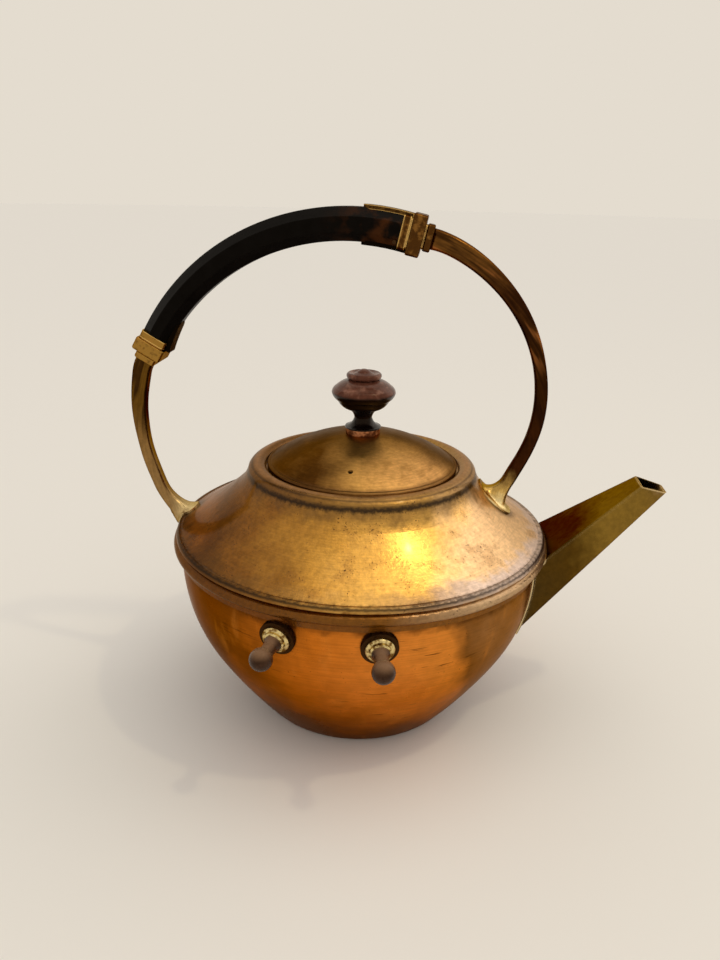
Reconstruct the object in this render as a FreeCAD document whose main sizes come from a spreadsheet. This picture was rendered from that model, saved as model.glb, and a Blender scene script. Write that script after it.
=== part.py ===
import FreeCAD, Part
import math
import os

import Sketcher

# Kettle with a bow handle: a raised copper bowl, a brass shoulder lapped over it, a folded
# four-sided spout, four pegs to hang it by, and a lid that lifts straight up.
# Origin: centre of the flat base, on the surface that the kettle stands on.
# +X runs towards the spout, +Z up. Lengths are in millimetres, angles in degrees.

os.makedirs("parts", exist_ok=True)
doc = FreeCAD.newDocument("kettle")
Vector = FreeCAD.Vector
Y_AXIS = Vector(0, 1, 0)
Z_AXIS = Vector(0, 0, 1)

SIZES = {
    # Clearances, and how far a cutting tool runs past what it cuts
    "lap_gap": 0.05,
    "solder_gap": 0.08,
    "screw_gap": 0.05,
    "lid_gap": 0.3,
    "overrun": 12.0,
    # Bowl
    "bowl_wall": 1.2,
    "base_radius": 50.2,
    "base_corner_run": 2.0,
    "bowl_radius": 88.8,
    "rim_drop": 0.2,
    "swell_drop": 8.5,
    "waist_inset": 12.0,
    "bowl_waist_height": 37.6,
    "bowl_upper_curve": 84.9,
    "bowl_lower_curve": 296.0,
    # Shoulder: skirt, bead, groove, edge, sweep, neck and lid ledge
    "shoulder_wall": 1.2,
    "skirt_wall": 1.1,
    "skirt_drop": 5.4,
    "bead_reach": 3.7,
    "bead_height": 89.6,
    "bead_tube": 2.3,
    "groove_depth": 1.1,
    "groove_rise": 2.8,
    "edge_depth": 1.3,
    "edge_rise": 3.7,
    "edge_curve": 2.3,
    "sweep_foot_inset": 0.5,
    "sweep_foot_rise": 5.8,
    "sweep_top_reach": 5.6,
    "sweep_curve": 113.0,
    "neck_radius": 55.4,
    "neck_height": 125.0,
    "neck_curve": 21.0,
    "ledge_width": 3.0,
    # Neck ring
    "ring_width": 8.2,
    "ring_crest_reach": 3.1,
    "ring_height": 2.9,
    "ring_lip_height": 1.4,
    "ring_inner_curve": 3.95,
    "ring_outer_curve": 5.94,
    # Lid
    "lid_wall": 1.0,
    "lid_margin": 0.85,
    "lid_rim_tube": 1.25,
    "lid_crown_rise": 17.0,
    "lid_edge_rise": 2.6,
    "lid_skirt_margin": 0.7,
    "lid_skirt_drop": 11.0,
    "vent_radius": 1.15,
    "vent_place": 35.3,
    "vent_angle": -92.8,
    # Knob and what holds it
    "collar_radius": 8.3,
    "collar_height": 2.3,
    "knob_height": 28.5,
    "knob_foot_radius": 8.6,
    "knob_neck_radius": 4.3,
    "knob_belly_radius": 15.3,
    "knob_groove_radius": 6.7,
    "knob_ring_radius": 7.7,
    "knob_button_radius": 3.4,
    "screw_radius": 2.0,
    "screw_reach": 14.0,
    "nut_radius": 4.0,
    "nut_height": 3.0,
    "washer_radius": 6.0,
    "washer_height": 1.0,
    "screw_spare": 2.0,
    # Spout: four corners at the mouth, and four at the root inside the bowl
    "spout_wall": 0.8,
    "spout_fold": 1.5,
    "mouth_top_reach": 43.7,
    "mouth_top_height": 124.2,
    "mouth_top_width": 16.0,
    "mouth_low_reach": 56.4,
    "mouth_low_height": 121.0,
    "mouth_low_width": 11.0,
    "root_top_inset": 11.2,
    "root_top_height": 80.1,
    "root_top_width": 52.4,
    "root_low_inset": 20.9,
    "root_low_height": 42.8,
    "flange_width": 3.0,
    "flange_wall": 0.6,
    "window_margin": 2.3,
    # Pegs
    "peg_drop": 13.0,
    "peg_middle_angle": 92.7,
    "peg_spread_angle": 14.0,
    "peg_droop_angle": 10.0,
    "peg_washer_radius": 8.0,
    "peg_washer_wall": 1.4,
    "peg_ring_radius": 6.25,
    "peg_ring_length": 3.1,
    "peg_base_radius": 3.9,
    "peg_neck_radius": 3.0,
    "peg_ball_radius": 4.9,
    "peg_length": 19.5,
    "stud_radius": 1.75,
    "stud_gap": 0.05,
    "stud_reach": 13.0,
    "stud_spare": 1.0,
    "peg_nut_radius": 3.7,
    "peg_nut_height": 2.4,
    "peg_nut_gap": 0.7,
    # Bow: the circle that the grip's centre line follows
    "bow_radius": 105.2,
    "bow_centre_reach": -7.7,
    "bow_top_height": 238.0,
    "grip_front_angle": 77.5,
    "grip_rear_angle": 150.3,
    "grip_height": 14.8,
    "grip_rear_height": 13.2,
    "grip_depth": 15.6,
    "grip_rear_depth": 14.4,
    "grip_bevel": 4.2,
    "grip_edge": 0.6,
    # Ferrules, straps and pin
    "plate_length": 3.3,
    "block_length": 6.2,
    "waist_length": 0.7,
    "waist_depth": 1.2,
    "socket_length": 3.4,
    "front_plate_height": 14.6,
    "front_block_height": 18.2,
    "front_block_depth": 17.0,
    "front_socket_height": 12.0,
    "rear_plate_height": 13.0,
    "rear_block_height": 14.8,
    "rear_block_depth": 15.0,
    "rear_socket_height": 10.4,
    "socket_depth": 9.6,
    "ferrule_corner": 1.6,
    "ferrule_edge": 0.8,
    "tang_length": 7.0,
    "tang_depth": 5.0,
    "strap_depth": 8.4,
    "strap_inset": 0.8,
    "front_strap_wall": 2.0,
    "front_strap_tip_wall": 2.0,
    "rear_strap_wall": 3.2,
    "rear_strap_tip_wall": 1.1,
    "front_strap_length": 17.5,
    "rear_strap_length": 13.0,
    "pin_radius": 0.9,
    "pin_place": 1.5,
    "pin_drop": 4.9,
    # Arms and their feet
    "arm_depth": 6.5,
    "arm_corner": 1.9,
    "front_arm_height": 9.3,
    "front_arm_foot_height": 5.9,
    "rear_arm_height": 9.0,
    "rear_arm_foot_height": 6.0,
    "front_foot_reach": 3.6,
    "front_pad_length": 21.0,
    "front_pad_depth": 15.0,
    "rear_foot_reach": 3.6,
    "rear_foot_rise": 3.8,
    "rear_foot_angle": 41.0,
    "rear_pad_length": 16.0,
    "rear_pad_depth": 18.0,
    "pad_wall": 1.6,
    "pad_corner": 3.0,
    "flare_length": 10.0,
}

sheet = doc.addObject("Spreadsheet::Sheet", "dims")
for row, (alias, number) in enumerate(SIZES.items(), start=1):
    sheet.set(f"A{row}", alias)
    sheet.set(f"B{row}", str(number))
    sheet.setAlias(f"B{row}", alias)
doc.recompute()


class Length:
    """A length's value now, with the formula that ties it to the sheet."""

    def __init__(self, value, formula):
        self.value = float(value)
        self.formula = formula

    def __add__(self, other):
        other = as_length(other)
        return Length(self.value + other.value, f"({self.formula} + {other.formula})")

    def __sub__(self, other):
        other = as_length(other)
        return Length(self.value - other.value, f"({self.formula} - {other.formula})")

    def __mul__(self, other):
        other = as_length(other)
        return Length(self.value * other.value, f"({self.formula} * {other.formula})")

    def __truediv__(self, other):
        other = as_length(other)
        return Length(self.value / other.value, f"({self.formula} / {other.formula})")

    def __neg__(self):
        return Length(-self.value, f"(0 - {self.formula})")

    def __float__(self):
        return self.value


def as_length(number):
    return number if isinstance(number, Length) else Length(number, str(number))


def root(square):
    return Length(math.sqrt(square.value), f"sqrt({square.formula})")


def size(alias):
    """The named size, tied to its cell."""
    return Length(sheet.get(alias), "dims." + alias)


def read(*aliases):
    """The plain values of named sizes."""
    values = [float(sheet.get(alias)) for alias in aliases]
    return values if len(values) > 1 else values[0]


sub_parts = []


def keep(piece, label):
    """Name a finished sub-part and list it for writing."""
    piece.Label = label
    sub_parts.append(piece)
    return piece


def arc_centre(start, end, radius):
    """Centre of the arc from start to end; a positive radius bulges to the left."""
    chord = end - start
    left = Vector(-chord.y, chord.x, 0).normalize()
    rise = math.sqrt(max(radius * radius - chord.Length ** 2 / 4, 0))
    return (start + end) * 0.5 - left * math.copysign(rise, radius)


def tie(sketch, constraint, value):
    """Add a constraint whose value follows the sheet."""
    index = sketch.addConstraint(constraint)
    sketch.setExpression(f"Constraints[{index}]", value.formula)


def draw_edge(sketch, start, end, radius):
    """One line or arc of an outline; returns it with the numbers of its start and end."""
    if radius is None:
        return sketch.addGeometry(Part.LineSegment(start, end), False), 1, 2
    centre = arc_centre(start, end, radius)
    turns_left = radius < 0
    first, last = (start, end) if turns_left else (end, start)
    angles = [math.atan2(point.y - centre.y, point.x - centre.x) for point in (first, last)]
    circle = Part.Circle(centre, Z_AXIS, abs(radius))
    edge = sketch.addGeometry(Part.ArcOfCircle(circle, *angles), False)
    return (edge, 1, 2) if turns_left else (edge, 2, 1)


def draw_outline(sketch, outline):
    """A closed outline of (across, up) corners, tied to the sheet. A third value is the
    radius of the arc to the next corner: positive where it bulges to the left."""
    corners = [Vector(float(corner[0]), float(corner[1]), 0) for corner in outline]
    radii = [float(corner[2]) if len(corner) == 3 else None for corner in outline]
    following = corners[1:] + corners[:1]
    edges = [draw_edge(sketch, *edge) for edge in zip(corners, following, radii)]
    for (edge, start, end), (after, after_start, after_end) in zip(edges, edges[1:] + edges[:1]):
        sketch.addConstraint(Sketcher.Constraint("Coincident", edge, end, after, after_start))
    for (edge, start, end), corner in zip(edges, outline):
        for kind, axis, value in (("DistanceX", -2, corner[0]), ("DistanceY", -1, corner[1])):
            value = as_length(value)
            if value.value == 0:
                sketch.addConstraint(Sketcher.Constraint("PointOnObject", edge, start, axis))
            else:
                tie(sketch, Sketcher.Constraint(kind, -1, 1, edge, start, value.value), value)
        if len(corner) == 3:
            radius = corner[2] if float(corner[2]) > 0 else -corner[2]
            tie(sketch, Sketcher.Constraint("Radius", edge, radius.value), radius)


def turned(name, outline):
    """A body turned about Z from an outline of (radius, height) corners."""
    body = doc.addObject("PartDesign::Body", name)
    plane = next(plane for plane in body.Origin.OriginFeatures if plane.Role == "XZ_Plane")
    sketch = body.newObject("Sketcher::SketchObject", name + "_outline")
    sketch.AttachmentSupport = [(plane, "")]
    sketch.MapMode = "FlatFace"
    draw_outline(sketch, outline)
    turning = body.newObject("PartDesign::Revolution", name + "_turning")
    turning.Profile = sketch
    turning.ReferenceAxis = (sketch, ["V_Axis"])
    turning.Angle = 360
    return body


def cylinder(name, radius, height, base=None):
    """An upright cylinder on the Z axis, tied to the sheet."""
    piece = doc.addObject("Part::Cylinder", name)
    piece.setExpression("Radius", radius.formula)
    return raised(piece, height, base)


def hexagon(name, radius, height, base=None):
    """An upright hexagonal prism on the Z axis, tied to the sheet."""
    piece = doc.addObject("Part::Prism", name)
    piece.Polygon = 6
    piece.setExpression("Circumradius", radius.formula)
    return raised(piece, height, base)


def raised(piece, height, base):
    """Tie an upright piece's height, and its base where it has one of its own."""
    piece.setExpression("Height", height.formula)
    if base is not None:
        piece.setExpression("Placement.Base.z", base.formula)
    return piece


def shaped(name, shape):
    """An object that holds a shape worked out from the sheet's values."""
    piece = doc.addObject("Part::Feature", name)
    piece.Shape = shape
    return piece


def combined(kind, name, base, tool):
    """Part::Cut or Part::Common of two objects, with every seam between faces kept."""
    result = doc.addObject(kind, name)
    result.Base = base
    result.Tool = tool
    result.Refine = False
    return result


def group(name, pieces):
    """Separate like pieces held as one node."""
    result = doc.addObject("Part::Compound", name)
    result.Links = pieces
    return result


# Places that several pieces share: the bowl's widest radius, the bead's height and the neck
# carry everything that is fitted to them.
bowl_radius, bead_height = size("bowl_radius"), size("bead_height")
neck_radius, neck_height = size("neck_radius"), size("neck_height")
swell_height = bead_height - size("swell_drop")
rim_height = bead_height - size("rim_drop")
skirt_height = bead_height - size("skirt_drop")
bead_radius = bowl_radius + size("bead_reach")
groove_height = bead_height + size("groove_rise")
edge_height = bead_height + size("edge_rise")
edge_radius = bead_radius - size("edge_depth")
sweep_top_share = 0.662
sweep_foot_radius = bowl_radius - size("sweep_foot_inset")
sweep_foot_height = bead_height + size("sweep_foot_rise")
sweep_top_radius = neck_radius + size("sweep_top_reach")
sweep_top_height = sweep_foot_height + (neck_height - sweep_foot_height) * sweep_top_share
ring_inner_radius = neck_radius - size("ring_width")

# Bowl: one copper sheet raised from a flat base. Its side is two tangent arcs, steep at the
# top and nearly straight below, and its rim stands straight inside the shoulder's skirt.
# The shares are the side's outward direction at the waist and at the base corner.
waist_out_share, waist_down_share = 0.8585, 0.513
foot_out_share, foot_down_share = 0.768, 0.64
corner_curve_share = 2.135


def bowl_side(offset):
    """Corners up the bowl's side, on a surface this far outside the real one."""
    run = size("base_corner_run")
    return [
        (size("base_radius") - run, -offset, -(run * corner_curve_share + offset)),
        (size("base_radius") + run * foot_down_share + offset * foot_out_share,
         run * foot_out_share - offset * foot_down_share, -(size("bowl_lower_curve") + offset)),
        (bowl_radius - size("waist_inset") + offset * waist_out_share,
         size("bowl_waist_height") - offset * waist_down_share,
         -(size("bowl_upper_curve") + offset)),
        (bowl_radius + offset, swell_height),
    ]


def back_down(side):
    """The same corners in the other order, with their arcs turned to match."""
    points = [corner[:2] for corner in reversed(side)]
    arcs = [corner[2] for corner in reversed(side[:-1])]
    return [(*point, -arc) for point, arc in zip(points, arcs)] + [points[-1]]


bowl_wall = size("bowl_wall")
bowl_sheet = turned("bowl_sheet", [
    (0, 0),
    *bowl_side(as_length(0)),
    (bowl_radius, rim_height),
    (bowl_radius - bowl_wall, rim_height),
    *back_down(bowl_side(-bowl_wall)),
    (0, bowl_wall),
])

# Skin: the outer surface of bowl and shoulder together, as one solid. What is soldered or
# screwed on outside is trimmed to it. The shares set the bead's upper end.
bead_out_share, bead_up_share = 0.36, 0.933


def skirt_radius():
    return bowl_radius + size("lap_gap") + size("skirt_wall")


def shoulder_side():
    """Corners up the shoulder's outside, from the skirt's lower edge to the neck."""
    bead_centre = bead_radius - size("bead_tube")
    bead_out = bead_centre + size("bead_tube") * bead_out_share
    bead_up = size("bead_tube") * bead_up_share
    return [
        (skirt_radius(), skirt_height),
        (bead_centre, bead_height - size("bead_tube"), -size("bead_tube")),
        (bead_out, bead_height + bead_up),
        (bead_out - size("groove_depth"), groove_height),
        (edge_radius, edge_height, -size("edge_curve")),
        (sweep_foot_radius, sweep_foot_height, size("sweep_curve")),
        (sweep_top_radius, sweep_top_height, size("neck_curve")),
        (neck_radius, neck_height),
    ]


def skin(name, offset):
    """The kettle's outside as a solid, this far outside the real surface."""
    slope_out_share, slope_up_share = 0.46, 0.89
    top_out_share, top_up_share, edge_up_share = 0.71, 0.71, 0.5
    bead_centre = bead_radius - size("bead_tube")
    bead_out = bead_centre + size("bead_tube") * bead_out_share
    bead_curve = size("bead_tube") + offset
    return turned(name, [
        (0, -offset),
        *bowl_side(offset),
        (bowl_radius + offset, skirt_height - offset),
        (skirt_radius() + offset, skirt_height - offset),
        (bead_centre + offset,
         bead_height - root(bead_curve * bead_curve - offset * offset), -bead_curve),
        (bead_out + offset * bead_out_share, bead_height + bead_curve * bead_up_share),
        (edge_radius + offset,
         edge_height + offset * edge_up_share, -(size("edge_curve") + offset)),
        (sweep_foot_radius + offset * slope_out_share,
         sweep_foot_height + offset * slope_up_share, size("sweep_curve") - offset),
        (sweep_top_radius + offset * top_out_share,
         sweep_top_height + offset * top_up_share, size("neck_curve") - offset),
        (neck_radius + offset, neck_height),
        (0, neck_height),
    ])


fitted_skin = skin("fitted_skin", size("solder_gap"))

# Shoulder: brass, worked from one sheet. Its skirt laps over the bowl's rim, a rolled bead
# runs round the widest line, and a flange under the neck ring makes the lid's ledge.
shoulder_wall = size("shoulder_wall")
lap_radius = bowl_radius + size("lap_gap")
ledge_radius = ring_inner_radius - size("ledge_width")
neck_in_share, sweep_in_share, sweep_out_share, sweep_down_share = 1.25, 0.71, 0.46, 0.89
shoulder = keep(turned("shoulder", [
    (lap_radius, skirt_height),
    *shoulder_side(),
    (ledge_radius, neck_height),
    (ledge_radius, neck_height - shoulder_wall),
    (neck_radius - shoulder_wall * neck_in_share, neck_height - shoulder_wall,
     -(size("neck_curve") + shoulder_wall)),
    (sweep_top_radius - shoulder_wall * sweep_in_share,
     sweep_top_height - shoulder_wall * sweep_in_share,
     -(size("sweep_curve") + shoulder_wall)),
    (sweep_foot_radius - shoulder_wall * sweep_out_share,
     sweep_foot_height - shoulder_wall * sweep_down_share),
    (lap_radius, groove_height),
]), "shoulder")

# Neck ring: a half-round brass bead soldered on the shoulder's top round the lid's opening.
keep(turned("neck_ring", [
    (ring_inner_radius, neck_height),
    (neck_radius, neck_height, -size("ring_outer_curve")),
    (ring_inner_radius + size("ring_crest_reach"), neck_height + size("ring_height"),
     -size("ring_inner_curve")),
    (ring_inner_radius, neck_height + size("ring_lip_height")),
]), "neck_ring")


# Spout: four flat brass sides folded into a tube that tapers both ways from the bowl to the
# mouth, mitred to the bead, skirt and bowl at its root and cut almost level at its mouth.
def spout_corner(place, reach):
    return Vector(read("bowl_radius") + reach, read(f"{place}_width") / 2, read(f"{place}_height"))


def both_sides(top, low):
    """Four corners in order round the tube, from the two on its +Y side."""
    return [Vector(corner.x, corner.y * side, corner.z)
            for corner, side in ((top, 1), (top, -1), (low, -1), (low, 1))]


mouth_top = spout_corner("mouth_top", read("mouth_top_reach"))
mouth_low = spout_corner("mouth_low", read("mouth_low_reach"))
root_top = spout_corner("root_top", -read("root_top_inset"))
side_square = (root_top - mouth_top).cross(mouth_low - mouth_top)
root_low = Vector(read("bowl_radius") - read("root_low_inset"), 0, read("root_low_height"))
root_low.y = (mouth_top - root_low).dot(side_square) / side_square.y
mouth, spout_root = both_sides(mouth_top, mouth_low), both_sides(root_top, root_low)
mouth_centre = sum(mouth, Vector()) * 0.25
root_centre = sum(spout_root, Vector()) * 0.25
spout_way = (mouth_centre - root_centre).normalize()


def spout_section(centre, offset):
    """The tube's corners on a plane square to its run, with its sides moved outwards."""
    corners = []
    for inner, outer in zip(spout_root, mouth):
        run = outer - inner
        share = (centre - inner).dot(spout_way) / run.dot(spout_way)
        corners.append(inner + run * share)
    if offset == 0:
        return corners
    outline = Part.makePolygon(corners + corners[:1]).makeOffset2D(offset, 2)
    moved = [vertex.Point for vertex in outline.Vertexes]
    return [min(moved, key=corner.distanceToPoint) for corner in corners]


def flat_face(*corners):
    return Part.Face(Part.makePolygon([*corners, corners[0]]))


def spout_solid(offset):
    """The tube as a flat-sided solid from inside the bowl to beyond its mouth."""
    base = spout_section(root_centre, offset)
    top = spout_section(mouth_centre + spout_way * read("overrun"), offset)
    sides = [flat_face(base[place - 1], base[place], top[place], top[place - 1])
             for place in range(len(base))]
    return Part.makeSolid(Part.makeShell([flat_face(*top), flat_face(*reversed(base)), *sides]))


def above_mouth():
    """A block over the mouth's plane."""
    slope = mouth[3] - mouth[0]
    slope = Vector(slope.x, 0, slope.z).normalize()
    up = slope.cross(Y_AXIS)
    up = up if up.z > 0 else -up
    reach = slope * read("mouth_low_reach")
    side = Y_AXIS * read("root_top_width")
    plane = flat_face(mouth_centre - reach - side, mouth_centre + reach - side,
                      mouth_centre + reach + side, mouth_centre - reach + side)
    return plane.extrude(up * read("mouth_low_reach"))


spout_bar = spout_solid(0)
long_share = 0.9
ridges = [edge for edge in spout_bar.Edges
          if edge.Length > (mouth_centre - root_centre).Length * long_share]
spout_bar = spout_bar.makeFillet(read("spout_fold"), ridges)
spout_channel = spout_solid(-read("spout_wall"))
spout_outside = shaped("spout_outside", spout_bar)
spout_block = combined("Part::Cut", "spout_block", spout_outside, fitted_skin)
spout_tube = combined("Part::Cut", "spout_tube", spout_block,
                      shaped("spout_inside", spout_channel))
keep(combined("Part::Cut", "spout", spout_tube, shaped("above_mouth", above_mouth())), "spout")

# Spout flange: the thin seam of solder and turned-out edge round the spout's foot, on the
# bowl below the skirt.
flange_skin = turned("flange_skin", [
    (0, -size("flange_wall")),
    *bowl_side(size("flange_wall") + size("solder_gap")),
    (bowl_radius + size("flange_wall") + size("solder_gap"),
     skirt_height - size("solder_gap") * 2),
    (0, skirt_height - size("solder_gap") * 2),
])
flange_sheet = combined("Part::Cut", "flange_sheet", flange_skin, fitted_skin)
flange_reach = shaped("flange_reach", spout_solid(read("flange_width")))
flange_patch = combined("Part::Common", "flange_patch", flange_sheet, flange_reach)
keep(combined("Part::Cut", "spout_flange", flange_patch, spout_outside), "spout_flange")

# Window: the bowl is open to the spout's channel below the skirt.
window_top = float(skirt_height) - read("window_margin")
channel_box = spout_channel.BoundBox
window_block = Part.makeBox(channel_box.XLength, channel_box.YLength, window_top,
                            Vector(channel_box.XMin, channel_box.YMin, 0))
window = shaped("window", spout_channel.common(window_block))
bowl_with_window = combined("Part::Cut", "bowl_with_window", bowl_sheet, window)

# Pegs: four turned brown pegs, two on each side, on which the kettle hangs. Each has a dark
# washer bent to the bowl, a stepped brass ring and a stud with a nut inside the bowl.
# Outlines are (radius, distance from the kettle's axis).
peg_height = bead_height - size("peg_drop")
peg_root = (bowl_radius - size("bowl_upper_curve")
            + root(size("bowl_upper_curve") * size("bowl_upper_curve")
                   - (swell_height - peg_height) * (swell_height - peg_height)))
stud_hole = size("stud_radius") + size("stud_gap")
washer_top = peg_root + size("peg_washer_wall")
ring_top = washer_top + size("peg_ring_length")
ring_out = size("peg_ring_radius")
ball_centre = peg_root + size("peg_length") - size("peg_ball_radius")
neck_end = ball_centre - root(size("peg_ball_radius") * size("peg_ball_radius")
                              - size("peg_neck_radius") * size("peg_neck_radius"))
ring_step_shares = (0.84, 0.75, 0.65)
ring_length_shares = (0.3, 0.62, 0.8)
foot_share, cove_share, cove_curve_share = 0.08, 0.45, 1.9
neck_run = neck_end - ring_top
nut_start = peg_root - bowl_wall - size("peg_nut_gap") - size("peg_nut_height")
stud_start = nut_start - size("stud_spare")
stud_end = peg_root + size("stud_reach")


def aimed(piece, angle, start=0):
    """Lay a piece along a peg's line, which leaves the bowl at this angle and droops a little.

    The piece's Z axis follows the line, and the line's zero is the bowl's radius inside it.
    """
    level = Vector(math.cos(math.radians(angle)), math.sin(math.radians(angle)), 0)
    seat = level * float(peg_root) + Z_AXIS * float(peg_height)
    droop = math.radians(read("peg_droop_angle"))
    way = level * math.cos(droop) - Z_AXIS * math.sin(droop)
    piece.Placement = FreeCAD.Placement(seat + way * (float(start) - float(peg_root)),
                                        FreeCAD.Rotation(Z_AXIS, way))
    return piece


peg_middle, peg_spread = read("peg_middle_angle", "peg_spread_angle")
peg_angles = {
    "near_rear": -peg_middle - peg_spread,
    "near_front": -peg_middle + peg_spread,
    "far_front": peg_middle - peg_spread,
    "far_rear": peg_middle + peg_spread,
}
studs, nuts, bowl = [], [], bowl_with_window
for corner, angle in peg_angles.items():
    disc = aimed(turned(f"disc_{corner}", [
        (stud_hole, peg_root - size("peg_washer_wall") * 2),
        (size("peg_washer_radius"), peg_root - size("peg_washer_wall") * 2),
        (size("peg_washer_radius"), washer_top),
        (stud_hole, washer_top),
    ]), angle)
    keep(combined("Part::Cut", f"washer_{corner}", disc, fitted_skin), f"peg_washer_{corner}")
    keep(aimed(turned(f"peg_ring_{corner}", [
        (stud_hole, washer_top),
        (ring_out, washer_top),
        (ring_out, washer_top + size("peg_ring_length") * ring_length_shares[0],
         -(size("peg_ring_length") * ring_length_shares[1])),
        (ring_out * ring_step_shares[0],
         washer_top + size("peg_ring_length") * ring_length_shares[1]),
        (ring_out * ring_step_shares[1],
         washer_top + size("peg_ring_length") * ring_length_shares[1]),
        (ring_out * ring_step_shares[1],
         washer_top + size("peg_ring_length") * ring_length_shares[2]),
        (ring_out * ring_step_shares[2], ring_top),
        (stud_hole, ring_top),
    ]), angle), f"peg_ring_{corner}")
    keep(aimed(turned(f"peg_{corner}", [
        (stud_hole, ring_top),
        (size("peg_base_radius"), ring_top),
        (size("peg_base_radius"), ring_top + neck_run * foot_share,
         size("peg_base_radius") * cove_curve_share),
        (size("peg_neck_radius"), ring_top + neck_run * cove_share),
        (size("peg_neck_radius"), neck_end, -size("peg_ball_radius")),
        (size("peg_ball_radius"), ball_centre, -size("peg_ball_radius")),
        (0, peg_root + size("peg_length")),
        (0, stud_end),
        (stud_hole, stud_end),
    ]), angle), f"peg_{corner}")
    studs.append(aimed(cylinder(f"stud_{corner}", size("stud_radius"), stud_end - stud_start),
                       angle, stud_start))
    nut_block = aimed(hexagon(f"nut_block_{corner}", size("peg_nut_radius"),
                              size("peg_nut_height")), angle, nut_start)
    drill = aimed(cylinder(f"drill_{corner}", stud_hole, washer_top), angle)
    nuts.append(combined("Part::Cut", f"nut_{corner}", nut_block, drill))
    bowl = combined("Part::Cut", f"bowl_{corner}", bowl, drill)
keep(group("studs", studs), "peg_studs")
keep(group("nuts", nuts), "peg_nuts")
keep(bowl, "bowl")

# Lid: a domed sheet with a wired edge that rests on the ledge, and a skirt that keeps it
# central in the neck.
lid_outer = ring_inner_radius - size("lid_margin")
wire_radius = lid_outer - size("lid_rim_tube")
wire_height = neck_height + size("lid_gap") + size("lid_rim_tube")
crown_height = neck_height + size("lid_crown_rise")
dome_rise = size("lid_crown_rise") - size("lid_edge_rise")
dome_curve = (wire_radius * wire_radius + dome_rise * dome_rise) / (dome_rise * 2)
dome_centre = crown_height - dome_curve
screw_hole = size("screw_radius") + size("screw_gap")


def dome_height(radius, below=0):
    """Height of the dome's outer surface, or of one this far below it."""
    curve = dome_curve - below
    return dome_centre + root(curve * curve - radius * radius)


lid_wall = size("lid_wall")
dome_sheet = turned("dome_sheet", [
    (screw_hole, dome_height(screw_hole, lid_wall), dome_curve - lid_wall),
    (wire_radius, dome_height(wire_radius, lid_wall)),
    (wire_radius, dome_height(wire_radius), -dome_curve),
    (screw_hole, dome_height(screw_hole)),
])
wire_seat = doc.addObject("Part::Torus", "wire_seat")
rim_wire = doc.addObject("Part::Torus", "rim_wire")
for torus, gap in ((wire_seat, size("lap_gap")), (rim_wire, as_length(0))):
    torus.setExpression("Radius1", wire_radius.formula)
    torus.setExpression("Radius2", (size("lid_rim_tube") + gap).formula)
    torus.setExpression("Placement.Base.z", wire_height.formula)
keep(rim_wire, "lid_rim")
vent_way = math.radians(read("vent_angle"))
vent = cylinder("vent", size("vent_radius"), crown_height)
vent.setExpression("Placement.Base.x", (size("vent_place") * math.cos(vent_way)).formula)
vent.setExpression("Placement.Base.y", (size("vent_place") * math.sin(vent_way)).formula)
dome_on_wire = combined("Part::Cut", "dome_on_wire", dome_sheet, wire_seat)
keep(combined("Part::Cut", "lid_dome", dome_on_wire, vent), "lid_dome")

skirt_outer = ledge_radius - size("lid_skirt_margin")
skirt_inner = skirt_outer - lid_wall
lid_skirt_height = neck_height - size("lid_skirt_drop")
keep(turned("lid_skirt", [
    (skirt_inner, lid_skirt_height),
    (skirt_outer, lid_skirt_height),
    (skirt_outer, dome_height(skirt_outer, lid_wall + size("lap_gap"))),
    (skirt_inner, dome_height(skirt_inner, lid_wall + size("lap_gap"))),
]), "lid_skirt")

# Knob: a copper collar on the dome and a turned dark knob on it, drawn down by a screw with
# a washer and a nut under the dome.
collar_top = crown_height + size("collar_height")
keep(turned("knob_collar", [
    (screw_hole, dome_height(screw_hole), dome_curve),
    (size("collar_radius"), dome_height(size("collar_radius"))),
    (size("collar_radius"), collar_top),
    (screw_hole, collar_top),
]), "knob_collar")

knob_height_shares = {
    "foot": 0.025, "neck": 0.176, "cup": 0.323, "crease": 0.477, "belly": 0.607,
    "shoulder": 0.708, "groove": 0.832, "ring": 0.844, "ring_top": 0.939, "recess": 0.919,
    "button": 0.944,
}
knob_radius_shares = {
    "cup": 0.48, "crease": 0.82, "shoulder": 0.88, "ring_top": 0.475, "recess": 0.34,
}
knob_curve_shares = {
    "foot": 0.35, "neck": 0.34, "cup": 0.5, "crease": 0.35, "belly": 0.24,
    "shoulder": 0.9, "ring": 0.097,
}


def knob_up(place):
    return collar_top + size("knob_height") * knob_height_shares[place]


def knob_out(place):
    return size("knob_belly_radius") * knob_radius_shares[place]


def knob_curve(place):
    return size("knob_belly_radius") * knob_curve_shares[place]


socket_top = collar_top + size("screw_reach")
button_rise = size("knob_height") * (1 - knob_height_shares["button"])
button_curve = ((size("knob_button_radius") * size("knob_button_radius")
                 + button_rise * button_rise) / (button_rise * 2))
keep(turned("knob", [
    (screw_hole, collar_top),
    (size("knob_foot_radius"), collar_top),
    (size("knob_foot_radius"), knob_up("foot"), knob_curve("foot")),
    (size("knob_neck_radius"), knob_up("neck"), knob_curve("neck")),
    (knob_out("cup"), knob_up("cup"), -knob_curve("cup")),
    (knob_out("crease"), knob_up("crease"), -knob_curve("crease")),
    (size("knob_belly_radius"), knob_up("belly"), -knob_curve("belly")),
    (knob_out("shoulder"), knob_up("shoulder"), -knob_curve("shoulder")),
    (size("knob_groove_radius"), knob_up("groove")),
    (size("knob_ring_radius"), knob_up("ring"), -knob_curve("ring")),
    (knob_out("ring_top"), knob_up("ring_top")),
    (knob_out("recess"), knob_up("recess")),
    (size("knob_button_radius"), knob_up("button"), -button_curve),
    (0, collar_top + size("knob_height")),
    (0, socket_top),
    (screw_hole, socket_top),
]), "knob")

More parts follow.
